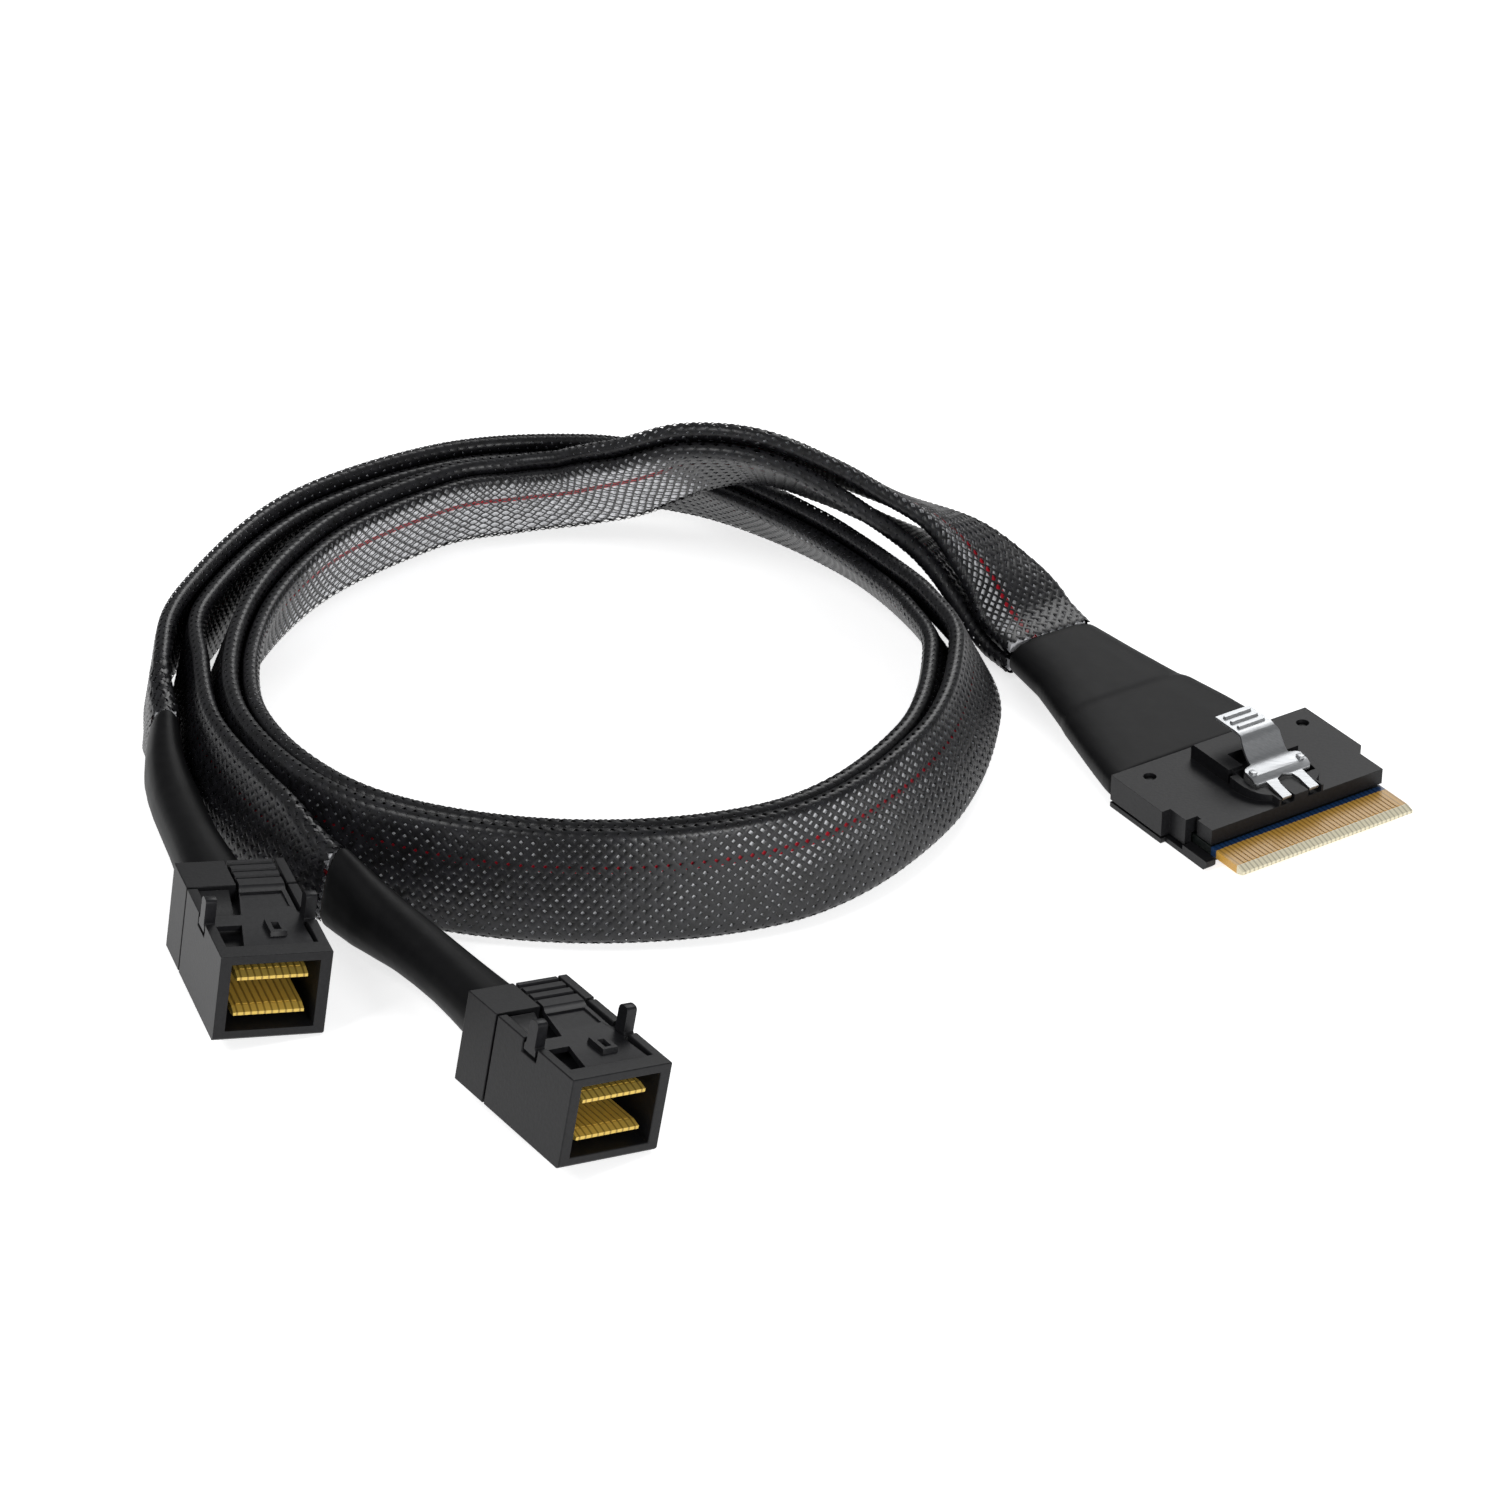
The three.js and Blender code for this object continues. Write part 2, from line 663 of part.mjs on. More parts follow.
// The lever's side view: pad with finger grooves, tongue and root foot
function leverSide() {
  const under = leverUnder - leverDrop;
  const rootX = hdFront - gap;
  const points = [
    [0.1, leverUnder],
    [5.6, leverUnder],
    [8, under],
    [rootX - 1.4, under],
    [rootX - 1.2, hdRoofTop + gap],
    [rootX, hdRoofTop + gap],
    [rootX, leverTop - 0.3],
    [rootX - 3, leverTop - 0.45],
    [5.9, leverTop - 0.35],
    [5.3, leverTop],
  ];
  for (let index = leverGrooveCount - 1; index >= 0; index -= 1) {
    const x = 0.9 + index * leverGroovePitch;
    points.push([x + 0.3, leverTop]);
    points.push([x + 0.15, leverTop - leverGrooveDepth]);
    points.push([x - 0.15, leverTop - leverGrooveDepth]);
    points.push([x - 0.3, leverTop]);
  }
  points.push([0.1, leverTop]);
  return outline(points);
}

function leverEar(side) {
  const rear = leverArmX - leverEarLength / 2;
  const front = leverArmX + leverEarLength / 2;
  const top = leverTop + leverEarRise;
  const under = leverUnder - leverDrop;
  const shape = new THREE.Shape();
  shape.moveTo(rear - 0.25, under);
  shape.lineTo(front + 0.25, under);
  shape.lineTo(front + 0.25, under + 0.6);
  shape.lineTo(front, under + 0.9);
  shape.lineTo(front, top - 0.5);
  shape.quadraticCurveTo(front, top, front - 0.5, top);
  shape.lineTo(rear + 0.6, top);
  shape.quadraticCurveTo(rear, top - 0.1, rear, top - 0.7);
  shape.lineTo(rear, under + 1.2);
  shape.quadraticCurveTo(rear, under + 0.8, rear - 0.25, under + 0.7);
  const inner = hdHalf - leverEarThickness;
  const faces = side > 0 ? [inner, hdHalf] : [-hdHalf, -inner];
  return across(shape, faces, 3);
}

function hdLeverBody() {
  const reach = hdHalf + 1;
  const tongue = raised(leverPlan(), [0, hdHeight + 2]).intersect(across(leverSide(), [-reach, reach]));
  const recess = block([6.2, 9.4], [-0.6, 4.1], [leverTop - 0.6, leverTop + 1]);
  const stop = across(outline([
    [12.2, leverUnder],
    [15.4, leverUnder],
    [15.1, leverTop + 0.15],
    [12.5, leverTop + 0.15],
  ]), [0.4, 2.2]);
  const slot = block([13.2, 14.7], [0.9, 1.7], [leverTop - 0.4, leverTop + 1]);
  return joined(tongue.subtract(recess), stop, leverEar(-1), leverEar(1)).subtract(slot);
}

function hdCard(height) {
  return contactCard({
    rear: hdCardRear,
    bottom: height - hdCardThickness / 2,
    middle: 0,
    width: hdCardWidth,
    length: hdCardLength,
    thickness: hdCardThickness,
    fingers: hdFingerCount,
    pitch: hdFingerPitch,
    fingerWidth: hdFingerWidth,
    fingerLength: hdFingerLength,
  });
}

// Holder: a block with a channel for each card, open to the front, and a rear pocket for the wires
function hdCardHolder() {
  const rear = hdWall + gap;
  const front = rear + hdHolderLength;
  const half = hdInner - gap;
  const top = hdChannelFloor - hdRoof - gap;
  const slotHalf = hdCardWidth / 2 + gap;
  const room = hdCardThickness / 2 + gap;
  const body = block([rear, front], [-half, half], [hdFloor + gap, top]);
  const slots = [hdLowerCard, hdUpperCard].map((height) => block(
    [hdCardRear - gap, front + 1],
    [-slotHalf, slotHalf],
    [height - room, height + room],
  ));
  const pocket = block([rear - 1, hdCardRear], [-hdEntryWidth / 2, hdEntryWidth / 2], [3.2, 6]);
  return body.subtract(joined(...slots, pocket));
}

// A uniform Catmull-Rom curve through rows of numbers, whose ends run straight on
function along(rows, t) {
  const last = rows.length - 1;
  const start = Math.min(Math.floor(t), last - 1);
  const f = t - start;
  return rows[0].map((_, k) => {
    const p1 = rows[start][k];
    const p2 = rows[start + 1][k];
    const p0 = start > 0 ? rows[start - 1][k] : 2 * p1 - p2;
    const p3 = start + 2 <= last ? rows[start + 2][k] : 2 * p2 - p1;
    const linear = (p2 - p0) * f;
    const square = (2 * p0 - 5 * p1 + 4 * p2 - p3) * f * f;
    const cube = (3 * p1 - p0 - 3 * p2 + p3) * f * f * f;
    return 0.5 * (2 * p1 + linear + square + cube);
  });
}

// Middle, heading, edge and face directions of a route at t; lean tips its upper edge to the left
function stance(rows, t) {
  const step = 0.02;
  const here = along(rows, t);
  const ahead = along(rows, Math.min(t + step, rows.length - 1));
  const behind = along(rows, Math.max(t - step, 0));
  const heading = new THREE.Vector3(ahead[0] - behind[0], ahead[1] - behind[1], ahead[2] - behind[2]);
  heading.normalize();
  const left = new THREE.Vector3(-heading.y, heading.x, 0).normalize();
  const lean = THREE.MathUtils.degToRad(here[3]);
  const edge = new THREE.Vector3(0, 0, Math.cos(lean)).addScaledVector(left, Math.sin(lean));
  edge.addScaledVector(heading, -edge.dot(heading)).normalize();
  const face = new THREE.Vector3().crossVectors(heading, edge);
  return { middle: new THREE.Vector3(here[0], here[1], here[2]), heading, edge, face };
}

// One leg's own route: half the distance apart to its side of the pair, then its own end
function legRoute(side, ends) {
  const rows = pairRoute.map((row, index) => {
    const { middle, face } = stance(pairRoute, index);
    middle.addScaledVector(face, (side * row[4]) / 2);
    return [middle.x, middle.y, middle.z, row[3]];
  });
  return [...rows, ...ends];
}

// A leg's route as a curve. Both legs step at the same places along the pair's route, so that
// their flat sides stay side by side: one step between near points, two between far ones.
class LegCurve extends THREE.Curve {
  constructor(rows) {
    super();
    this.rows = rows;
    this.stops = [];
    const shared = [...pairRoute, ...rows.slice(pairRoute.length)];
    for (let index = 0; index < rows.length - 1; index += 1) {
      const [ax, ay] = shared[index];
      const [bx, by] = shared[index + 1];
      this.stops.push(index);
      if (Math.hypot(bx - ax, by - ay) > longStep) {
        this.stops.push(index + 0.5);
      }
    }
    this.stops.push(rows.length - 1);
  }

  getSpacedPoints() {
    return this.stops.map((stop) => stance(this.rows, stop).middle);
  }

  computeFrenetFrames() {
    const stances = this.stops.map((stop) => stance(this.rows, stop));
    return {
      tangents: stances.map(({ heading }) => heading),
      normals: stances.map(({ edge }) => edge),
      binormals: stances.map(({ face }) => face),
    };
  }
}

// The sleeve's section: a flat oval, its long side along the edge direction
function sleeveSection() {
  const shape = [];
  const half = sleeveWidth / 2;
  const bend = sleeveThickness / 2;
  for (let index = 0; index < sleeveSides; index += 1) {
    const angle = (2 * Math.PI * (index + 0.5)) / sleeveSides;
    const reach = half - bend;
    shape.push([Math.sign(Math.cos(angle)) * reach + Math.cos(angle) * bend, Math.sin(angle) * bend]);
  }
  return outline(shape);
}

function sleeve(rows) {
  const curve = new LegCurve(rows);
  const options = { steps: curve.stops.length - 1, extrudePath: curve };
  return solid(new THREE.ExtrudeGeometry(sleeveSection(), options));
}

// A group that holds a plug where it lies
function placed({ x, y, z, yaw, roll }) {
  const group = new THREE.Group();
  group.position.set(x, y, z);
  group.rotation.set(THREE.MathUtils.degToRad(roll), 0, THREE.MathUtils.degToRad(yaw), 'ZYX');
  group.updateMatrixWorld(true);
  return group;
}

// A mini SAS HD boot: flat where it holds the sleeve, round in the middle, oval at the plug's rear
function hdBoot(rows, route, plug) {
  const end = stance(rows, rows.length - 1);
  const sleeveEnd = end.middle.clone().addScaledVector(end.heading, gap);
  const entry = new THREE.Vector3(-gap, 0, hdHeight / 2 - 0.3).applyMatrix4(plug.matrixWorld);
  const inside = new THREE.Vector3(-3.6, 0, hdHeight / 2 - 0.3).applyMatrix4(plug.matrixWorld);
  const stations = [
    [sleeveEnd.x, sleeveEnd.y, sleeveEnd.z, 9.4, 3.6],
    ...route,
    [inside.x, inside.y, inside.z, 6.2, 7.4],
    [entry.x, entry.y, entry.z, 6.6, 8.2],
  ];
  const upright = new THREE.Vector3(0, 0, 1).transformDirection(plug.matrixWorld);
  const rings = [];
  const steps = (stations.length - 1) * 2;
  for (let index = 0; index <= steps; index += 1) {
    const t = index / 2;
    const share = index / steps;
    const [x, y, z, height, width] = along(stations, t);
    const ahead = along(stations, Math.min(t + 0.02, stations.length - 1));
    const behind = along(stations, Math.max(t - 0.02, 0));
    const heading = new THREE.Vector3(ahead[0] - behind[0], ahead[1] - behind[1], ahead[2] - behind[2]);
    const plugHeading = new THREE.Vector3(1, 0, 0).transformDirection(plug.matrixWorld);
    if (index === 0) {
      heading.copy(end.heading);
    }
    if (index === steps) {
      heading.copy(plugHeading);
    }
    heading.normalize();
    const tall = end.edge.clone().lerp(upright, share);
    tall.addScaledVector(heading, -tall.dot(heading)).normalize();
    const wide = new THREE.Vector3().crossVectors(tall, heading);
    rings.push(ring(new THREE.Vector3(x, y, z), tall, wide, height, width, 2.4, 16));
  }
  return loft(rings);
}

const cable = new THREE.Group();
cable.position.set(-originX, -originY, 0);

const slimPlug = placed(slimPlace);
slimPlug.add(piece('slim_bottom_housing', slimBottomHousing(), 'plastic'));
slimPlug.add(piece('slim_card', slimCard(), 'gold'));
slimPlug.add(piece('slim_top_housing', slimTopHousing(), 'plastic'));
slimPlug.add(piece('slim_latch', slimLatch(), 'steel'));
slimPlug.add(piece('slim_boot', slimBoot(), 'shrink'));
cable.add(slimPlug);

const legNames = ['leg_a', 'leg_b'];
plugPlaces.forEach((place, index) => {
  const side = index === 0 ? 1 : -1;
  const rows = legRoute(side, legEnds[index]);
  const name = `plug${index + 1}`;
  const plug = placed(place);
  plug.add(piece(`${name}_housing`, hdHousing(), 'plastic'));
  plug.add(piece(`${name}_rear_cover`, hdRearCover(), 'plastic'));
  plug.add(piece(`${name}_latch_lever`, hdLeverBody(), 'lever'));
  plug.add(piece(`${name}_upper_card`, hdCard(hdUpperCard), 'gold'));
  plug.add(piece(`${name}_lower_card`, hdCard(hdLowerCard), 'gold'));
  plug.add(piece(`${name}_card_holder`, hdCardHolder(), 'holder'));
  cable.add(plug);
  cable.add(piece(`${name}_boot`, hdBoot(rows, bootRoutes[index], plug), 'shrink'));
  cable.add(piece(`${legNames[index]}_sleeve`, sleeve(rows), 'braid'));
});

export default cable;
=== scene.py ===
import json
import math

import bpy
import numpy as np
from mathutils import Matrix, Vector

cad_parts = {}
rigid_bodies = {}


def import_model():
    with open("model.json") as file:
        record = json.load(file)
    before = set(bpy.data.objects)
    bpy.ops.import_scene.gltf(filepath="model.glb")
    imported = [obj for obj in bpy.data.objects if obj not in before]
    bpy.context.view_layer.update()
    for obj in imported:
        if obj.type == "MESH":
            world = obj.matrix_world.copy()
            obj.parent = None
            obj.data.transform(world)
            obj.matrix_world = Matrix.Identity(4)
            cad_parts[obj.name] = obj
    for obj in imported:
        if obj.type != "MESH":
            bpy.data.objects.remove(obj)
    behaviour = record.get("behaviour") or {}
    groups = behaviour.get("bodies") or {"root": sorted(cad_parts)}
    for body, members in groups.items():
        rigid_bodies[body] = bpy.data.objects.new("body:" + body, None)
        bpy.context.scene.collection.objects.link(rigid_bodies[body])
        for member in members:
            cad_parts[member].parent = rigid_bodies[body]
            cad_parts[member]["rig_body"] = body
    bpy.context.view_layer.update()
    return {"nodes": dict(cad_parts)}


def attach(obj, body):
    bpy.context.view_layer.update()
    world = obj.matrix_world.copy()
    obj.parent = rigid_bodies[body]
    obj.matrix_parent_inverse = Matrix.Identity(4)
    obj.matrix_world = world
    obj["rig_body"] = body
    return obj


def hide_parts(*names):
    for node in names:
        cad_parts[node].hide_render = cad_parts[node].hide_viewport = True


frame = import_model()
bpy.ops.object.select_all(action="DESELECT")
nodes = frame["nodes"]
scene = bpy.context.scene


# Camera
# Looks straight across the bench from the front, about thirty-one degrees above it.
rise = math.radians(30.9575)
toward = Vector((0.0, math.cos(rise), -math.sin(rise)))
camera_data = bpy.data.cameras.new("camera")
camera_data.lens = 112.41
camera_data.sensor_width = 36.0
camera_data.clip_start = 0.01
camera_data.clip_end = 10.0
camera = bpy.data.objects.new("camera", camera_data)
camera.location = Vector((-0.00317, 0.03144, 0.0)) - toward * 0.538104
camera.rotation_euler = toward.to_track_quat("-Z", "Y").to_euler()
scene.collection.objects.link(camera)
scene.camera = camera
scene.view_settings.view_transform = "Standard"


# The two cable legs: routes
# Each leg is a flat cable on edge. Both run side by side as a pair from the SlimSAS boot round
# one and a half turns, then part to their own plugs. Rows: x, y, z, lean of the upper edge
# to the left in degrees, and the distance between the two legs' middles.
MM = 0.001
PAIR = [
    [35.0, 19.2, 2.9, 90, 2.4],
    [32.4, 23.2, 3.6, 86, 3.0],
    [28.6, 27.4, 6.6, 77, 3.9],
    [22.9, 31.3, 10.6, 65, 3.8],
    [15.4, 34.4, 13.4, 56, 3.0],
    [8.5, 36.3, 16.2, 52, 2.6],
    [1.3, 37.9, 18.2, 50, 2.5],
    [-6.2, 40.2, 17.2, 46, 2.5],
    [-13.6, 43.6, 13.0, 42, 2.5],
    [-20.8, 47.4, 9.2, 37, 2.4],
    [-28.8, 48.6, 7.5, 33, 2.4],
    [-38.5, 45.4, 7.2, 30, 2.4],
    [-52.0, 31.2, 7.2, 26, 2.4],
    [-59.2, 9.5, 7.3, 22, 2.4],
    [-57.0, -14.0, 7.4, 17, 2.4],
    [-42.4, -32.6, 7.4, 12, 2.4],
    [-19.0, -39.6, 7.4, 9, 2.4],
    [4.6, -35.0, 7.4, 10, 2.4],
    [19.2, -18.0, 7.3, 15, 2.6],
    [24.2, 2.0, 7.2, 22, 3.2],
    [22.4, 14.5, 6.9, 30, 2.8],
    [17.8, 26.0, 6.4, 38, 2.4],
    [11.0, 37.3, 6.1, 43, 2.4],
    [1.9, 47.2, 6.0, 44, 2.4],
    [-8.6, 54.8, 6.1, 42, 2.4],
    [-21.0, 57.6, 6.3, 39, 2.4],
    [-39.0, 53.0, 6.8, 34, 2.4],
    [-56.6, 37.2, 7.1, 25, 2.7],
    [-65.8, 13.5, 7.2, 15, 2.8],
]
ENDS = [
    [[-67.6, -0.5, 7.1, 9], [-65.9, -9.8, 7.0, 8]],
    [
        [-63.4, -2.5, 7.2, 14],
        [-61.0, -14.9, 7.2, 17],
        [-55.6, -25.6, 7.2, 18],
        [-50.2, -33.5, 7.1, 16],
        [-44.6, -39.6, 7.0, 16],
    ],
]
BENCH = Vector((-3.17, 31.44, 0.0))


def along(rows, t):
    """The row at t, on a smooth curve through all the rows."""
    last = len(rows) - 1
    start = max(0, min(int(math.floor(t)), last - 1))
    f = t - start
    p1 = np.array(rows[start], float)
    p2 = np.array(rows[start + 1], float)
    p0 = np.array(rows[start - 1], float) if start > 0 else 2 * p1 - p2
    p3 = np.array(rows[start + 2], float) if start + 2 <= last else 2 * p2 - p1
    linear = (p2 - p0) * f
    square = (2 * p0 - 5 * p1 + 4 * p2 - p3) * f * f
    cube = (3 * p1 - p0 - 3 * p2 + p3) * f * f * f
    return 0.5 * (2 * p1 + linear + square + cube)


def stance(rows, t):
    """Middle, heading, upper edge direction and outward face direction at t."""
    here = along(rows, t)
    ahead = along(rows, min(t + 0.02, len(rows) - 1))
    behind = along(rows, max(t - 0.02, 0))
    heading = Vector((ahead - behind)[:3]).normalized()
    left = Vector((-heading.y, heading.x, 0)).normalized()
    lean = math.radians(here[3])
    edge = Vector((0, 0, math.cos(lean))) + left * math.sin(lean)
    edge = (edge - heading * edge.dot(heading)).normalized()
    return Vector(here[:3]), heading, edge, heading.cross(edge)


def leg_rows(side, ends):
    """One leg's own route: half the distance apart to its side of the pair, then its end."""
    rows = []
    for index, row in enumerate(PAIR):
        middle, heading, edge, face = stance(PAIR, index)
        middle += face * (side * row[4] / 2)
        rows.append([middle.x, middle.y, middle.z, row[3]])
    return rows + ends


def stations(rows, step):
    """Places along a route, step mm apart: distance, t, middle, heading, edge and face."""
    fine = np.linspace(0, len(rows) - 1, (len(rows) - 1) * 40 + 1)
    points = np.array([along(rows, t)[:3] for t in fine])
    far = np.concatenate([[0], np.cumsum(np.linalg.norm(np.diff(points, axis=0), axis=1))])
    count = max(2, round(far[-1] / step))
    made = []
    for k in range(count + 1):
        distance = far[-1] * k / count
        t = float(np.interp(distance, far, fine))
        middle, heading, edge, face = stance(rows, t)
        made.append((distance, t, middle + BENCH, heading, edge, face))
    return made


def skin(name, verts, faces, uvs=None):
    """A mesh object from points in mm, with one pair of route coordinates a point."""
    mesh = bpy.data.meshes.new(name)
    mesh.from_pydata((np.asarray(verts, float) * MM).tolist(), [], faces)
    if uvs is not None:
        layer = mesh.uv_layers.new(name="route")
        corner = np.empty(len(mesh.loops), np.int32)
        mesh.loops.foreach_get("vertex_index", corner)
        layer.data.foreach_set("uv", np.asarray(uvs, np.float32)[corner].ravel())
    mesh.update()
    made = bpy.data.objects.new(name, mesh)
    scene.collection.objects.link(made)
    return made


# The two cable legs: flat cables inside
# Silver-white ribbon of sixteen wires side by side, with one red wire near the upper edge.
# Extruded plastic: smooth, slightly shiny ribs that run the whole length.
LAST_MM = 11.0  # over this length a leg gathers into its plug's boot
FIRST_MM = 7.0  # and over this one into the SlimSAS boot


def share(value):
    """The value, kept from 0 to 1."""
    return min(1.0, max(0.0, value))


def narrowing(distance, long):
    """How wide and how thick a leg is, against its usual size, at a distance along it."""
    end = share((long - distance) / LAST_MM)
    start = share(distance / FIRST_MM)
    gather = 1 - end * end * (3 - 2 * end)
    slim = 1 - start * start * (3 - 2 * start)
    return 1 - 0.34 * gather - 0.08 * slim, 1 + 0.7 * gather


def new_material(name):
    """A new material with its node tree, its shader and its object coordinates."""
    made = bpy.data.materials.new(name)
    made.use_nodes = True
    tree = made.node_tree
    shader = tree.nodes["Principled BSDF"]
    place = tree.nodes.new("ShaderNodeTexCoord")
    return made, tree, shader, place


SILVER = (0.93, 0.94, 0.97, 1)
RED = (0.62, 0.012, 0.030, 1)


def ribbon_material():
    """Silver with one red wire, by the place across the flat cable."""
    made, tree, shader, place = new_material("ribbon_plastic")
    shader.inputs["Roughness"].default_value = 0.34
    route = tree.nodes.new("ShaderNodeUVMap")
    route.uv_map = "route"
    split = tree.nodes.new("ShaderNodeSeparateXYZ")
    tree.links.new(route.outputs["UV"], split.inputs["Vector"])
    stripe = tree.nodes.new("ShaderNodeValToRGB")
    stripe.color_ramp.interpolation = "CONSTANT"
    ramp = stripe.color_ramp
    ramp.elements[0].color = SILVER
    ramp.elements[1].position = 0.645
    ramp.elements[1].color = RED
    ramp.elements.new(0.72).color = SILVER
    tree.links.new(split.outputs["X"], stripe.inputs["Fac"])
    cloud = tree.nodes.new("ShaderNodeTexNoise")
    cloud.inputs["Scale"].default_value = 180.0
    tree.links.new(place.outputs["Object"], cloud.inputs["Vector"])
    mix = tree.nodes.new("ShaderNodeMix")
    mix.data_type = "RGBA"
    mix.blend_type = "MULTIPLY"
    mix.inputs["Factor"].default_value = 0.3
    tree.links.new(stripe.outputs["Color"], mix.inputs["A"])
    tree.links.new(cloud.outputs["Fac"], mix.inputs["B"])
    tree.links.new(mix.outputs["Result"], shader.inputs["Base Color"])
    return made


CABLE_STEP = 2.0  # from one ring of points to the next, in mm
CABLE_HALF = 5.75  # half the flat cable's width
CABLE_HALF_THICK = 0.58  # half its thickness between the wires
RIB = 0.14  # how far each wire stands out
AROUND = 96

ribbon_finish = ribbon_material()
legs = []
for index, letter in enumerate("ab"):
    rows = leg_rows(1 - 2 * index, ENDS[index])
    spots = stations(rows, CABLE_STEP)
    long = spots[-1][0]
    legs.append({"rows": rows, "letter": letter})
    verts, uvs, faces = [], [], []
    for distance, _, middle, _, edge, face in spots:
        wide, thick = narrowing(distance, long)
        for k in range(AROUND):
            turn = 2 * math.pi * k / AROUND
            u = math.cos(turn)
            v = math.sin(turn)
            rib = CABLE_HALF_THICK + RIB * abs(math.cos(8 * math.pi * u))
            level = math.copysign(min(1.0, abs(v) * 5.0), v) * rib
            verts.append(middle + edge * (u * CABLE_HALF * wide) + face * (level * thick))
            uvs.append(((u + 1) / 2, distance / 1000))
    for ring in range(len(spots) - 1):
        low, high = ring * AROUND, (ring + 1) * AROUND
        for k in range(AROUND):
            n = (k + 1) % AROUND
            faces.append((low + k, low + n, high + n, high + k))
    faces.append(tuple(range(AROUND)))
    faces.append(tuple(reversed(range((len(spots) - 1) * AROUND, len(spots) * AROUND))))
    ribbon = skin(f"leg_{letter}_flat_cable", verts, faces, uvs)
    ribbon.data.materials.append(ribbon_finish)
    bpy.context.view_layer.objects.active = ribbon
    ribbon.select_set(True)
    bpy.ops.object.mode_set(mode="EDIT")
    bpy.ops.mesh.select_all(action="SELECT")
    bpy.ops.mesh.normals_make_consistent(inside=False)
    bpy.ops.object.mode_set(mode="OBJECT")
    bpy.ops.object.shade_smooth_by_angle(angle=math.radians(50))
    ribbon.select_set(False)
    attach(ribbon, "root")
    legs[-1]["ribbon"] = ribbon


# The two cable legs: braided sleeves
# Black plastic yarn plaited on a machine, twenty-two flat strands each way, over and under in
# turn. The mesh stands open where it is stretched and shows the silver cable through it.
# OPEN lists those places: leg, t from, t to, face, across from, across to, and how open.
OPEN = [
    (1, 7.0, 12.8, -1, -1.1, 1.1, 1.0),
    (1, 12.4, 14.6, -1, -1.1, 1.1, 0.55),
    (1, 19.6, 22.6, -1, -1.1, 1.1, 0.35),
    (0, 0.0, 6.0, 1, 0.1, 1.1, 0.75),
    (0, 6.0, 9.0, 1, 0.2, 1.1, 0.35),
    (0, 16.4, 18.4, 1, -0.2, 1.1, 0.42),
    (0, 22.6, 25.5, -1, 0.2, 1.1, 0.25),
]


def openness(leg, t, side, across):
    """How far the mesh is stretched open at a place, from 0 to 1."""
    most = 0.0
    for which, first, last, facing, low, high, most_open in OPEN:
        if which != leg or facing * side < 0:
            continue
        lengthways = share((t - first) / 0.6) * share((last - t) / 0.6)
        crossways = share((across - low) / 0.2) * share((high - across) / 0.2)
        most = max(most, most_open * lengthways * crossways)
    return most


STRANDS = 22  # each way
ONCE_ROUND = 28.6  # a strand goes once round the sleeve in about this length, in mm
HALF = 6.55  # half the sleeve's width
ROUND = 0.95  # half its thickness, and the radius of its edges
WEAVE = 0.075  # how far a strand lies above or below the sleeve's own outline
CLOSED_HALF = 0.335  # half a strand's width where the mesh is closed
OPEN_LOSS = 0.21  # and how much less where it stands fully open
CROWN = 0.05  # a strand's middle above that line
EDGE_DROP = 0.03  # and its edges below it


def section(p, wide, thick):
    """The sleeve's outline at p, a share of the way round: edge, face, and the outward normal."""
    flat = 2 * (HALF * wide - ROUND * thick)
    bend = math.pi * ROUND * thick
    way = (p % 1.0) * 2 * (flat + bend)
    if way < flat:
        return way - flat / 2, ROUND * thick, 0.0, 1.0
    way -= flat
    if way < bend:
        turn = math.pi / 2 - way / (ROUND * thick)
        e, f = math.cos(turn), math.sin(turn)
        return flat / 2 + e * ROUND * thick, f * ROUND * thick, e, f
    way -= bend
    if way < flat:
        return flat / 2 - way, -ROUND * thick, 0.0, -1.0
    way -= flat
    turn = -math.pi / 2 - way / (ROUND * thick)
    e, f = math.cos(turn), math.sin(turn)
    return -flat / 2 + e * ROUND * thick, f * ROUND * thick, e, f


def braid_material():
    """Black yarn whose shade drifts a little."""
    made, tree, shader, place = new_material("braid_yarn")
    shader.inputs["Roughness"].default_value = 0.36
    shader.inputs["Specular IOR Level"].default_value = 0.45
    fleck = tree.nodes.new("ShaderNodeTexNoise")
    fleck.inputs["Scale"].default_value = 900.0
    fleck.inputs["Detail"].default_value = 3.0
    tree.links.new(place.outputs["Object"], fleck.inputs["Vector"])
    shade = tree.nodes.new("ShaderNodeValToRGB")
    shade.color_ramp.elements[0].position = 0.35
    shade.color_ramp.elements[0].color = (0.003, 0.003, 0.0035, 1)
    shade.color_ramp.elements[1].position = 0.75
    shade.color_ramp.elements[1].color = (0.014, 0.014, 0.017, 1)
    tree.links.new(fleck.outputs["Fac"], shade.inputs["Fac"])
    tree.links.new(shade.outputs["Color"], shader.inputs["Base Color"])
    return made


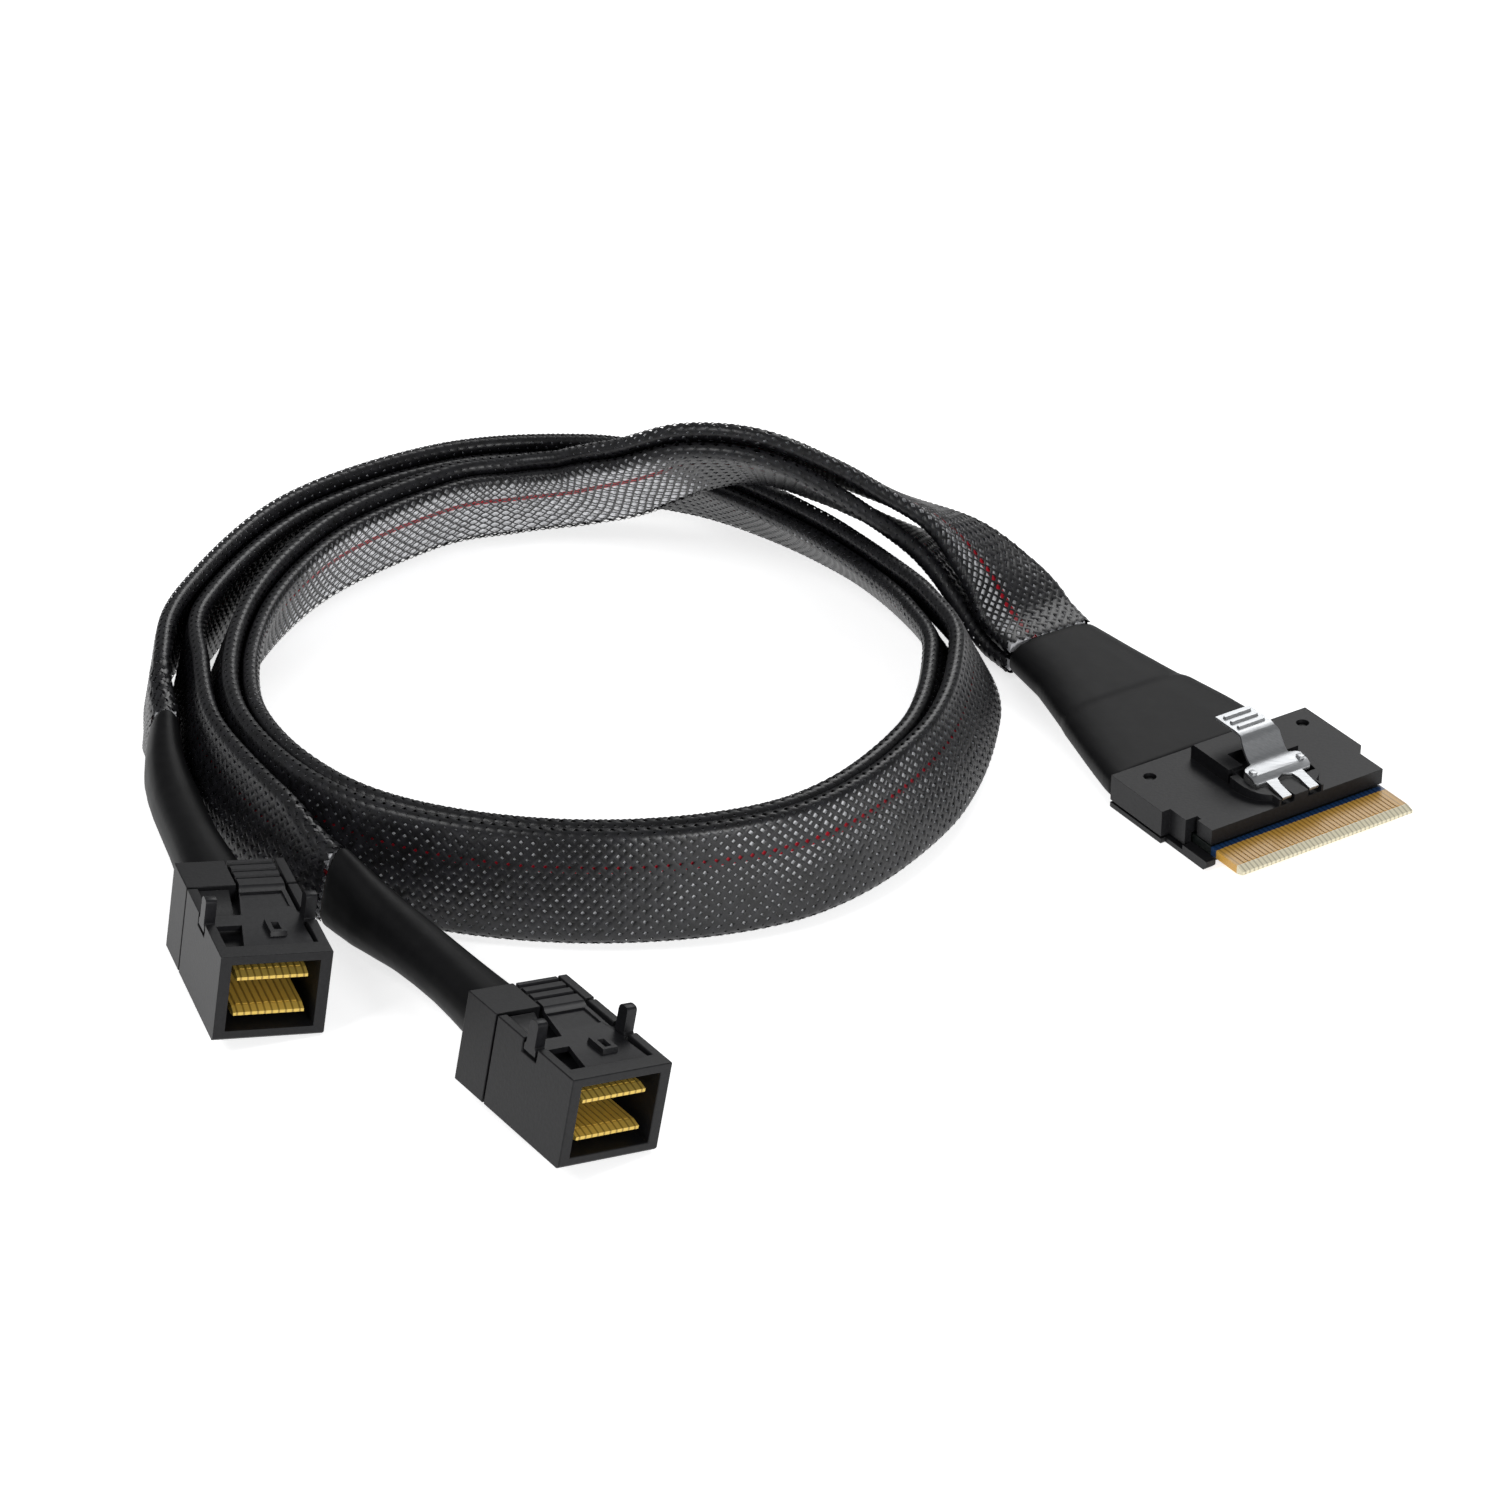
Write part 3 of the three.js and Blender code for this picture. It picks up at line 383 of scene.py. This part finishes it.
braid_finish = braid_material()
for index, leg in enumerate(legs):
    spots = stations(leg["rows"], ONCE_ROUND / (2 * STRANDS))
    long = spots[-1][0]
    crossings = [(*spot, *narrowing(spot[0], long)) for spot in spots]
    verts, faces = [], []
    for way in (1, -1):
        for strand in range(STRANDS):
            before = None
            for k, crossing in enumerate(crossings):
                distance, t, middle, heading, edge, face, wide, thick = crossing
                jitter = 0.0022 * math.sin(0.9 * strand + distance * 0.13 * way)
                p = (strand + 0.5 * (way < 0)) / STRANDS + way * k / (2 * STRANDS) + jitter
                e, f, ne, nf = section(p, wide, thick)
                outward = edge * ne + face * nf
                round_way = heading.cross(outward)
                lie = (heading - round_way * way).normalized()
                crossways = outward.cross(lie)
                gap = openness(index, t, 1 if nf >= 0 else -1, e / (HALF * wide))
                ripple = 0.05 * math.sin(distance * 0.31 + strand * 1.7)
                half = CLOSED_HALF - OPEN_LOSS * gap + 0.35 * ripple
                high = WEAVE * way * (-1) ** k
                here = middle + edge * e + face * f + outward * high
                first = len(verts)
                verts.append(here - crossways * half - outward * EDGE_DROP)
                verts.append(here + outward * CROWN)
                verts.append(here + crossways * half - outward * EDGE_DROP)
                if before is not None:
                    faces.append((before, before + 1, first + 1, first))
                    faces.append((before + 1, before + 2, first + 2, first + 1))
                before = first
    sleeve = skin(f"leg_{leg['letter']}_braid", verts, faces)
    sleeve.data.materials.append(braid_finish)
    sleeve.data.shade_smooth()
    leg["length"] = round(long * MM, 4)
    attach(sleeve, "root")
    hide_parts(f"leg_{leg['letter']}_sleeve")


# Floor and light
# A plain white bench, an even light all round, and three broad lamps: at the left, behind, and
# low in front, where it lights the open mesh of the coil's back.
bpy.ops.mesh.primitive_plane_add(size=6.0, location=(0, 0, -0.00015))
floor = bpy.context.active_object
floor.name = "floor"
floor_finish, tree, shader, place = new_material("floor_white")
shader.inputs["Base Color"].default_value = (0.95, 0.95, 0.95, 1)
shader.inputs["Roughness"].default_value = 1.0
shader.inputs["Specular IOR Level"].default_value = 0.0
shader.inputs["Emission Color"].default_value = (1, 1, 1, 1)
shader.inputs["Emission Strength"].default_value = 0.7
floor.data.materials.append(floor_finish)
floor.select_set(False)

world = bpy.data.worlds.new("room")
scene.world = world
world.use_nodes = True
tree = world.node_tree
tree.nodes.clear()
out = tree.nodes.new("ShaderNodeOutputWorld")
seen = tree.nodes.new("ShaderNodeBackground")
seen.inputs["Strength"].default_value = 1.0
seen.inputs["Color"].default_value = (1, 1, 1, 1)
glow = tree.nodes.new("ShaderNodeBackground")
glow.inputs["Strength"].default_value = 0.26
glow.inputs["Color"].default_value = (0.97, 0.98, 1, 1)
ray = tree.nodes.new("ShaderNodeLightPath")
pick = tree.nodes.new("ShaderNodeMixShader")
tree.links.new(ray.outputs["Is Camera Ray"], pick.inputs["Fac"])
tree.links.new(glow.outputs["Background"], pick.inputs[1])
tree.links.new(seen.outputs["Background"], pick.inputs[2])
tree.links.new(pick.outputs["Shader"], out.inputs["Surface"])
for name, place_at, power, size in [
    ("lamp_left", (-0.55, -0.35, 0.75), 2.6, 0.35),
    ("lamp_back", (0.25, 0.75, 0.6), 2.4, 0.4),
    ("lamp_front", (0.4, -0.8, 0.3), 3.6, 0.25),
]:
    light = bpy.data.lights.new(name, "AREA")
    light.energy = power
    light.size = size
    lamp = bpy.data.objects.new(name, light)
    lamp.location = place_at
    lamp.rotation_euler = (-Vector(place_at)).to_track_quat("-Z", "Y").to_euler()
    scene.collection.objects.link(lamp)


# Plastic housings of the three plugs
# Dark moulded plastic, edges slightly rounded, with a fine spark-eroded grain.
def grain_group():
    """Shared fine surface grain: a mask and a normal from a noise of a given size."""
    tree = bpy.data.node_groups.new("fine_grain", "ShaderNodeTree")
    face = tree.interface
    face.new_socket("Point", in_out="INPUT", socket_type="NodeSocketVector")
    face.new_socket("Size", in_out="INPUT", socket_type="NodeSocketFloat")
    face.new_socket("Depth", in_out="INPUT", socket_type="NodeSocketFloat")
    face.new_socket("Mask", in_out="OUTPUT", socket_type="NodeSocketFloat")
    face.new_socket("Normal", in_out="OUTPUT", socket_type="NodeSocketVector")
    given = tree.nodes.new("NodeGroupInput")
    result = tree.nodes.new("NodeGroupOutput")
    cloud = tree.nodes.new("ShaderNodeTexNoise")
    cloud.inputs["Detail"].default_value = 4.0
    rough = tree.nodes.new("ShaderNodeBump")
    rough.inputs["Distance"].default_value = 0.00004
    tree.links.new(given.outputs["Point"], cloud.inputs["Vector"])
    tree.links.new(given.outputs["Size"], cloud.inputs["Scale"])
    tree.links.new(given.outputs["Depth"], rough.inputs["Strength"])
    tree.links.new(cloud.outputs["Fac"], rough.inputs["Height"])
    tree.links.new(cloud.outputs["Fac"], result.inputs["Mask"])
    tree.links.new(rough.outputs["Normal"], result.inputs["Normal"])
    return tree


fine_grain = grain_group()


def grained(name, dark, light, roughness, size, depth):
    """A plain finish whose shade drifts between two colours, with fine grain."""
    made, tree, shader, place = new_material(name)
    shader.inputs["Roughness"].default_value = roughness
    shader.inputs["Specular IOR Level"].default_value = 0.24
    grain = tree.nodes.new("ShaderNodeGroup")
    grain.node_tree = fine_grain
    grain.inputs["Size"].default_value = size
    grain.inputs["Depth"].default_value = depth
    tree.links.new(place.outputs["Object"], grain.inputs["Point"])
    shade = tree.nodes.new("ShaderNodeValToRGB")
    shade.color_ramp.elements[0].position = 0.3
    shade.color_ramp.elements[0].color = (*dark, 1)
    shade.color_ramp.elements[1].position = 0.7
    shade.color_ramp.elements[1].color = (*light, 1)
    tree.links.new(grain.outputs["Mask"], shade.inputs["Fac"])
    tree.links.new(shade.outputs["Color"], shader.inputs["Base Color"])
    tree.links.new(grain.outputs["Normal"], shader.inputs["Normal"])
    return made


MERGE = 0.000002  # points closer than this, in metres, are one
FLAT = math.radians(1.0)  # faces that meet at less than this are one face


def loose_copy(node, name, join_flats):
    """A CAD node's mesh as a new selected object, its points merged and its faces outward."""
    made = bpy.data.objects.new(name, nodes[node].data.copy())
    scene.collection.objects.link(made)
    made.data.materials.clear()
    bpy.context.view_layer.objects.active = made
    made.select_set(True)
    bpy.ops.object.mode_set(mode="EDIT")
    bpy.ops.mesh.select_all(action="SELECT")
    bpy.ops.mesh.remove_doubles(threshold=MERGE)
    if join_flats:
        bpy.ops.mesh.dissolve_limited(angle_limit=FLAT)
    bpy.ops.mesh.normals_make_consistent(inside=False)
    bpy.ops.object.mode_set(mode="OBJECT")
    return made


def rounded_copy(node, name, width):
    """A piece to stand for a CAD node, with its edges bevelled to a width in metres."""
    made = loose_copy(node, name, join_flats=True)
    edge = made.modifiers.new("rounded_edges", "BEVEL")
    edge.width = width
    edge.segments = 2
    edge.limit_method = "ANGLE"
    edge.angle_limit = math.radians(30)
    bpy.ops.object.modifier_apply(modifier=edge.name)
    bpy.ops.object.shade_smooth_by_angle(angle=math.radians(40))
    level = made.modifiers.new("level_faces", "WEIGHTED_NORMAL")
    level.keep_sharp = True
    bpy.ops.object.modifier_apply(modifier=level.name)
    made.select_set(False)
    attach(made, nodes[node]["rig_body"])
    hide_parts(node)
    return made


SHELL_DARK = (0.0055, 0.0055, 0.0062)
SHELL_LIGHT = (0.0095, 0.0095, 0.0108)
plastic = grained("plug_plastic", SHELL_DARK, SHELL_LIGHT, 0.46, 2600, 0.35)
for node in [
    "slim_bottom_housing",
    "slim_top_housing",
    "plug1_housing",
    "plug1_rear_cover",
    "plug2_housing",
    "plug2_rear_cover",
]:
    piece = rounded_copy(node, f"{node}_moulding", 0.00016)
    piece.data.materials.append(plastic)


# Latch levers of the two mini SAS HD plugs
# Dark moulded plastic, a little lighter and smoother than the shells that they lie in.
LEVER_DARK = (0.008, 0.008, 0.009)
LEVER_LIGHT = (0.013, 0.013, 0.015)
lever_finish = grained("lever_plastic", LEVER_DARK, LEVER_LIGHT, 0.42, 1800, 0.3)
for node in ["plug1_latch_lever", "plug2_latch_lever"]:
    piece = rounded_copy(node, f"{node}_moulding", 0.00012)
    piece.data.materials.append(lever_finish)


# Card holders inside the two mini SAS HD plugs
# Dark moulded plastic deep in the mouth, dull.
HOLDER_DARK = (0.006, 0.006, 0.006)
HOLDER_LIGHT = (0.010, 0.010, 0.010)
holder_finish = grained("holder_plastic", HOLDER_DARK, HOLDER_LIGHT, 0.6, 1500, 0.4)
for node in ["plug1_card_holder", "plug2_card_holder"]:
    nodes[node].data.materials.clear()
    nodes[node].data.materials.append(holder_finish)


# Heat-shrink boots
# Thick black tube shrunk over the joint of cable and plug: soft edges, matte, faintly uneven.
# Each is the plain CAD solid on a fine grid, eased until its edges are round.
def soft_copy(node, name, grid, rounds):
    """A piece to stand for a CAD node: its solid remeshed on a fine grid and smoothed."""
    made = loose_copy(node, name, join_flats=False)
    cells = made.modifiers.new("cells", "REMESH")
    cells.mode = "VOXEL"
    cells.voxel_size = grid
    bpy.ops.object.modifier_apply(modifier=cells.name)
    ease = made.modifiers.new("ease", "SMOOTH")
    ease.factor = 0.5
    ease.iterations = rounds
    bpy.ops.object.modifier_apply(modifier=ease.name)
    made.data.shade_smooth()
    made.select_set(False)
    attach(made, "root")
    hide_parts(node)
    return made


TUBE_DARK = (0.004, 0.004, 0.0045)
TUBE_LIGHT = (0.007, 0.007, 0.0075)
shrink = grained("shrink_tube", TUBE_DARK, TUBE_LIGHT, 0.5, 420, 0.6)
shrink.node_tree.nodes["Principled BSDF"].inputs["Specular IOR Level"].default_value = 0.14
GRID = 0.0003
EASING_ROUNDS = 12
for node in ["slim_boot", "plug1_boot", "plug2_boot"]:
    piece = soft_copy(node, f"{node}_tube", GRID, EASING_ROUNDS)
    piece.data.materials.append(shrink)


# Spring latch of the SlimSAS plug
# One strip of stamped stainless steel with a brushed face, edges just rounded.
steel, tree, shader, place = new_material("latch_steel")
shader.inputs["Metallic"].default_value = 1.0
shader.inputs["Roughness"].default_value = 0.4
turned = tree.nodes.new("ShaderNodeMapping")
turned.inputs["Rotation"].default_value = (0, 0, math.radians(57.15))
turned.inputs["Scale"].default_value = (300, 9000, 3000)
tree.links.new(place.outputs["Object"], turned.inputs["Vector"])
brush = tree.nodes.new("ShaderNodeTexNoise")
brush.inputs["Scale"].default_value = 1.0
brush.inputs["Detail"].default_value = 5.0
tree.links.new(turned.outputs["Vector"], brush.inputs["Vector"])
tone = tree.nodes.new("ShaderNodeValToRGB")
tone.color_ramp.elements[0].color = (0.30, 0.31, 0.32, 1)
tone.color_ramp.elements[1].color = (0.58, 0.59, 0.60, 1)
tree.links.new(brush.outputs["Fac"], tone.inputs["Fac"])
tree.links.new(tone.outputs["Color"], shader.inputs["Base Color"])
piece = rounded_copy("slim_latch", "slim_latch_strip", 0.00006)
piece.data.materials.append(steel)


# Edge card of the SlimSAS plug
# Circuit board with gold-plated fingers on both faces, a blue line behind them and a pale
# bevelled front edge.
def plug_point(tree, place, at, roll, yaw):
    """Object coordinates turned into a plug's own millimetres."""
    into = tree.nodes.new("ShaderNodeMapping")
    into.vector_type = "TEXTURE"
    into.inputs["Location"].default_value = [c * MM for c in at]
    into.inputs["Rotation"].default_value = (math.radians(roll), 0, math.radians(yaw))
    into.inputs["Scale"].default_value = (MM, MM, MM)
    tree.links.new(place.outputs["Object"], into.inputs["Vector"])
    split = tree.nodes.new("ShaderNodeSeparateXYZ")
    tree.links.new(into.outputs["Vector"], split.inputs["Vector"])
    return split


def steps(tree, value, rows):
    """A colour for each stretch of a value given in mm: rows of (from, colour), low to high."""
    low, high = rows[0][0], rows[-1][0] + 1.0
    share = tree.nodes.new("ShaderNodeMapRange")
    share.inputs["From Min"].default_value = low
    share.inputs["From Max"].default_value = high
    tree.links.new(value, share.inputs["Value"])
    ramp = tree.nodes.new("ShaderNodeValToRGB")
    ramp.color_ramp.interpolation = "CONSTANT"
    for number, (start, colour) in enumerate(rows):
        place_on = (start - low) / (high - low)
        if number == 0:
            stop = ramp.color_ramp.elements[0]
        elif number == 1:
            stop = ramp.color_ramp.elements[1]
            stop.position = place_on
        else:
            stop = ramp.color_ramp.elements.new(place_on)
        stop.color = (*colour, 1)
    tree.links.new(share.outputs["Result"], ramp.inputs["Fac"])
    return ramp


card, tree, shader, place = new_material("slim_card_faces")
shader.inputs["Roughness"].default_value = 0.35
point = plug_point(tree, place, (49.0, 26.67, 0.0), 0, -57.15)
board = steps(
    tree,
    point.outputs["X"],
    [
        (0.0, (0.010, 0.013, 0.012)),
        (15.4, (0.012, 0.045, 0.13)),
        (16.25, (0.60, 0.33, 0.055)),
        (20.0, (0.72, 0.66, 0.47)),
    ],
)
stripe = tree.nodes.new("ShaderNodeMath")
stripe.operation = "PINGPONG"
stripe.inputs[1].default_value = 0.3
tree.links.new(point.outputs["Y"], stripe.inputs[0])
ridge = tree.nodes.new("ShaderNodeMapRange")
ridge.inputs["From Min"].default_value = 0.17
ridge.inputs["From Max"].default_value = 0.22
ridge.inputs["To Min"].default_value = 1.0
ridge.inputs["To Max"].default_value = 0.62
tree.links.new(stripe.outputs["Value"], ridge.inputs["Value"])
mix = tree.nodes.new("ShaderNodeMix")
mix.data_type = "RGBA"
mix.blend_type = "MULTIPLY"
mix.inputs["Factor"].default_value = 1.0
tree.links.new(board.outputs["Color"], mix.inputs["A"])
tree.links.new(ridge.outputs["Result"], mix.inputs["B"])
tree.links.new(mix.outputs["Result"], shader.inputs["Base Color"])
nodes["slim_card"].data.materials.clear()
nodes["slim_card"].data.materials.append(card)


# Edge cards of the two mini SAS HD plugs
# Small boards one above the other, their plated contacts a greenish yellow gold.
for number, (at, roll, yaw) in enumerate(
    [((-59.94, -10.19, 0.96), -9.0, -69.73), ((-28.5, -34.47, 1.3), -11.88, -55.06)], 1
):
    gold, tree, shader, place = new_material(f"plug{number}_card_faces")
    shader.inputs["Roughness"].default_value = 0.38
    shader.inputs["Metallic"].default_value = 0.25
    point = plug_point(tree, place, at, roll, yaw)
    stripe = tree.nodes.new("ShaderNodeMath")
    stripe.operation = "PINGPONG"
    stripe.inputs[1].default_value = 0.375
    tree.links.new(point.outputs["Y"], stripe.inputs[0])
    tone = tree.nodes.new("ShaderNodeValToRGB")
    tone.color_ramp.elements[0].position = 0.24
    tone.color_ramp.elements[0].color = (0.72, 0.50, 0.10, 1)
    tone.color_ramp.elements[1].position = 0.30
    tone.color_ramp.elements[1].color = (0.34, 0.22, 0.04, 1)
    tree.links.new(stripe.outputs["Value"], tone.inputs["Fac"])
    tree.links.new(tone.outputs["Color"], shader.inputs["Base Color"])
    for node in [f"plug{number}_upper_card", f"plug{number}_lower_card"]:
        nodes[node].data.materials.clear()
        nodes[node].data.materials.append(gold)
